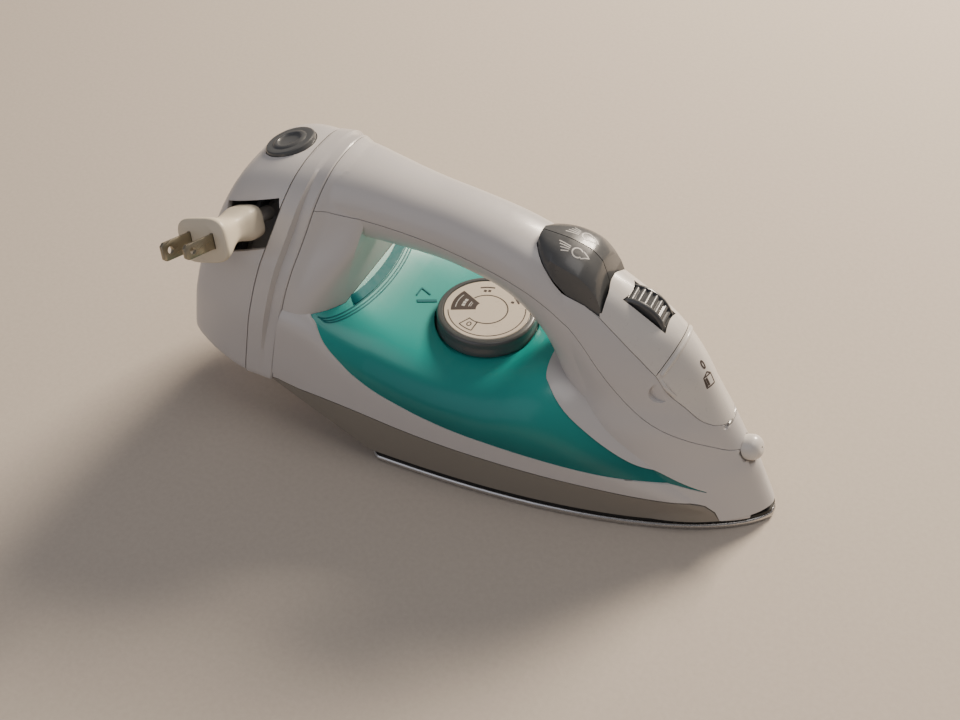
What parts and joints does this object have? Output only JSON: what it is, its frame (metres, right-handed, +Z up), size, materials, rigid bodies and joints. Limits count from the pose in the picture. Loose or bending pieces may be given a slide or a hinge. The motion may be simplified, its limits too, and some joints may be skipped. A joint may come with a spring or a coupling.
{
  "type": "steam iron",
  "caption": "Steam iron with a clear teal tank, temperature dial, thumbwheel, spray and steam keys, fill door, and a retractable cord wound on a reel in its heel.",
  "frame": {"origin": "on the ironing face, on the plane of symmetry, 134.9 mm behind the tip", "axes": "+X towards the tip, +Y to the left, +Z up from the ironing face"},
  "size_m": [0.2719, 0.1297, 0.1378],
  "materials": {
    "shell_white": "satin off-white moulded plastic",
    "trim_white": "smooth white moulded plastic",
    "tank_teal": "clear teal moulded plastic",
    "dark_grey": "glossy dark grey plastic",
    "disc_champagne": "pale champagne lacquer with printed marks",
    "skirt_taupe": "satin taupe heat-proof plastic",
    "gasket_black": "matt black silicone",
    "sole_steel": "polished ironing face",
    "cast_aluminium": "as cast",
    "plug_cream": "cream moulded plastic",
    "blade_brass": "worn plated brass",
    "inner_grey": "plain moulded plastic",
    "spring_steel": "plain steel",
    "cord_white": "soft flexible jacket"
  },
  "bodies": {
    "iron_body": {"burst_pump": "trim_white", "burst_spring": "spring_steel", "door_hinge_pin": "spring_steel", "filler_funnel": "trim_white", "filler_seal": "gasket_black", "handle_cover": "shell_white", "heater_casting": "cast_aluminium", "heating_element": "spring_steel", "lower_housing": "shell_white", "nose_cover": "trim_white", "rear_cover": "shell_white", "rear_ring": "shell_white", "rear_screw_left": "spring_steel", "rear_screw_right": "spring_steel", "reel_axle": "spring_steel", "reel_brake": "inner_grey", "reel_plate": "inner_grey", "reel_spring": "spring_steel", "rewind_spring": "spring_steel", "skirt": "skirt_taupe", "sole_gasket": "gasket_black", "soleplate": "sole_steel", "spray_nozzle": "trim_white", "spray_pump": "trim_white", "spray_spring": "spring_steel", "steam_chamber_cover": "cast_aluminium", "terminal_block": "inner_grey", "thermostat": "inner_grey", "water_tank": "tank_teal", "wheel_axle": "spring_steel"},
    "dial": {"dial_ring": "dark_grey", "dial_disc": "disc_champagne", "dial_shaft": "inner_grey"},
    "steam_wheel": {"steam_wheel": "dark_grey"},
    "steam_valve": {"valve_stem": "inner_grey"},
    "spray_key": {"spray_button": "dark_grey", "spray_plunger": "inner_grey"},
    "burst_key": {"burst_button": "dark_grey", "burst_plunger": "inner_grey"},
    "fill_door": {"fill_door": "trim_white"},
    "rewind_key": {"rewind_button": "dark_grey"},
    "plug": {"plug_body": "plug_cream", "plug_blade_narrow": "blade_brass", "plug_blade_wide": "blade_brass", "cord_lead": "cord_white"},
    "reel": {"cord_reel": "inner_grey", "wound_cord": "cord_white"}
  },
  "joints": [
    {"name": "dial_turn", "type": "hinge", "parent": "iron_body", "child": "dial", "pos_m": [-0.008, 0, 0.066], "axis": [0, 0, 1], "range_deg": [0, 285]},
    {"name": "steam_wheel_turn", "type": "hinge", "parent": "iron_body", "child": "steam_wheel", "pos_m": [0.061, 0, 0.0903], "axis": [0, 1, 0], "range_deg": [-40, 40]},
    {"name": "valve_lift", "type": "slide", "parent": "iron_body", "child": "steam_valve", "axis": [0, 0, 1], "range_m": [-0.0015, 0.0015]},
    {"name": "spray_press", "type": "slide", "parent": "iron_body", "child": "spray_key", "axis": [0, 0, -1], "range_m": [0, 0.003], "stiffness_N_per_m": 400, "deforming": ["spray_spring"]},
    {"name": "burst_press", "type": "slide", "parent": "iron_body", "child": "burst_key", "axis": [0, 0, -1], "range_m": [0, 0.003], "stiffness_N_per_m": 400, "deforming": ["burst_spring"]},
    {"name": "fill_door_open", "type": "hinge", "parent": "iron_body", "child": "fill_door", "pos_m": [0.1083, 0, 0.0516], "axis": [0, 1, 0], "range_deg": [0, 60]},
    {"name": "rewind_press", "type": "slide", "parent": "iron_body", "child": "rewind_key", "axis": [0.3, 0, -0.9539], "range_m": [0, 0.003], "stiffness_N_per_m": 400, "deforming": ["rewind_spring"]},
    {"name": "plug_pull", "type": "slide", "parent": "iron_body", "child": "plug", "axis": [-0.1301, -0.951, 0.2803], "range_m": [0, 0.01]},
    {"name": "reel_spin", "type": "hinge", "parent": "iron_body", "child": "reel", "pos_m": [-0.10993, 0, 0.074], "axis": [0.9792, 0, -0.2027], "range_deg": [-25, 25]}
  ],
  "couplings": [
    {"joint": "valve_lift", "follows": "steam_wheel_turn", "m_per_rad": 0.002},
    {"joint": "reel_spin", "follows": "plug_pull", "rad_per_m": 35}
  ]
}
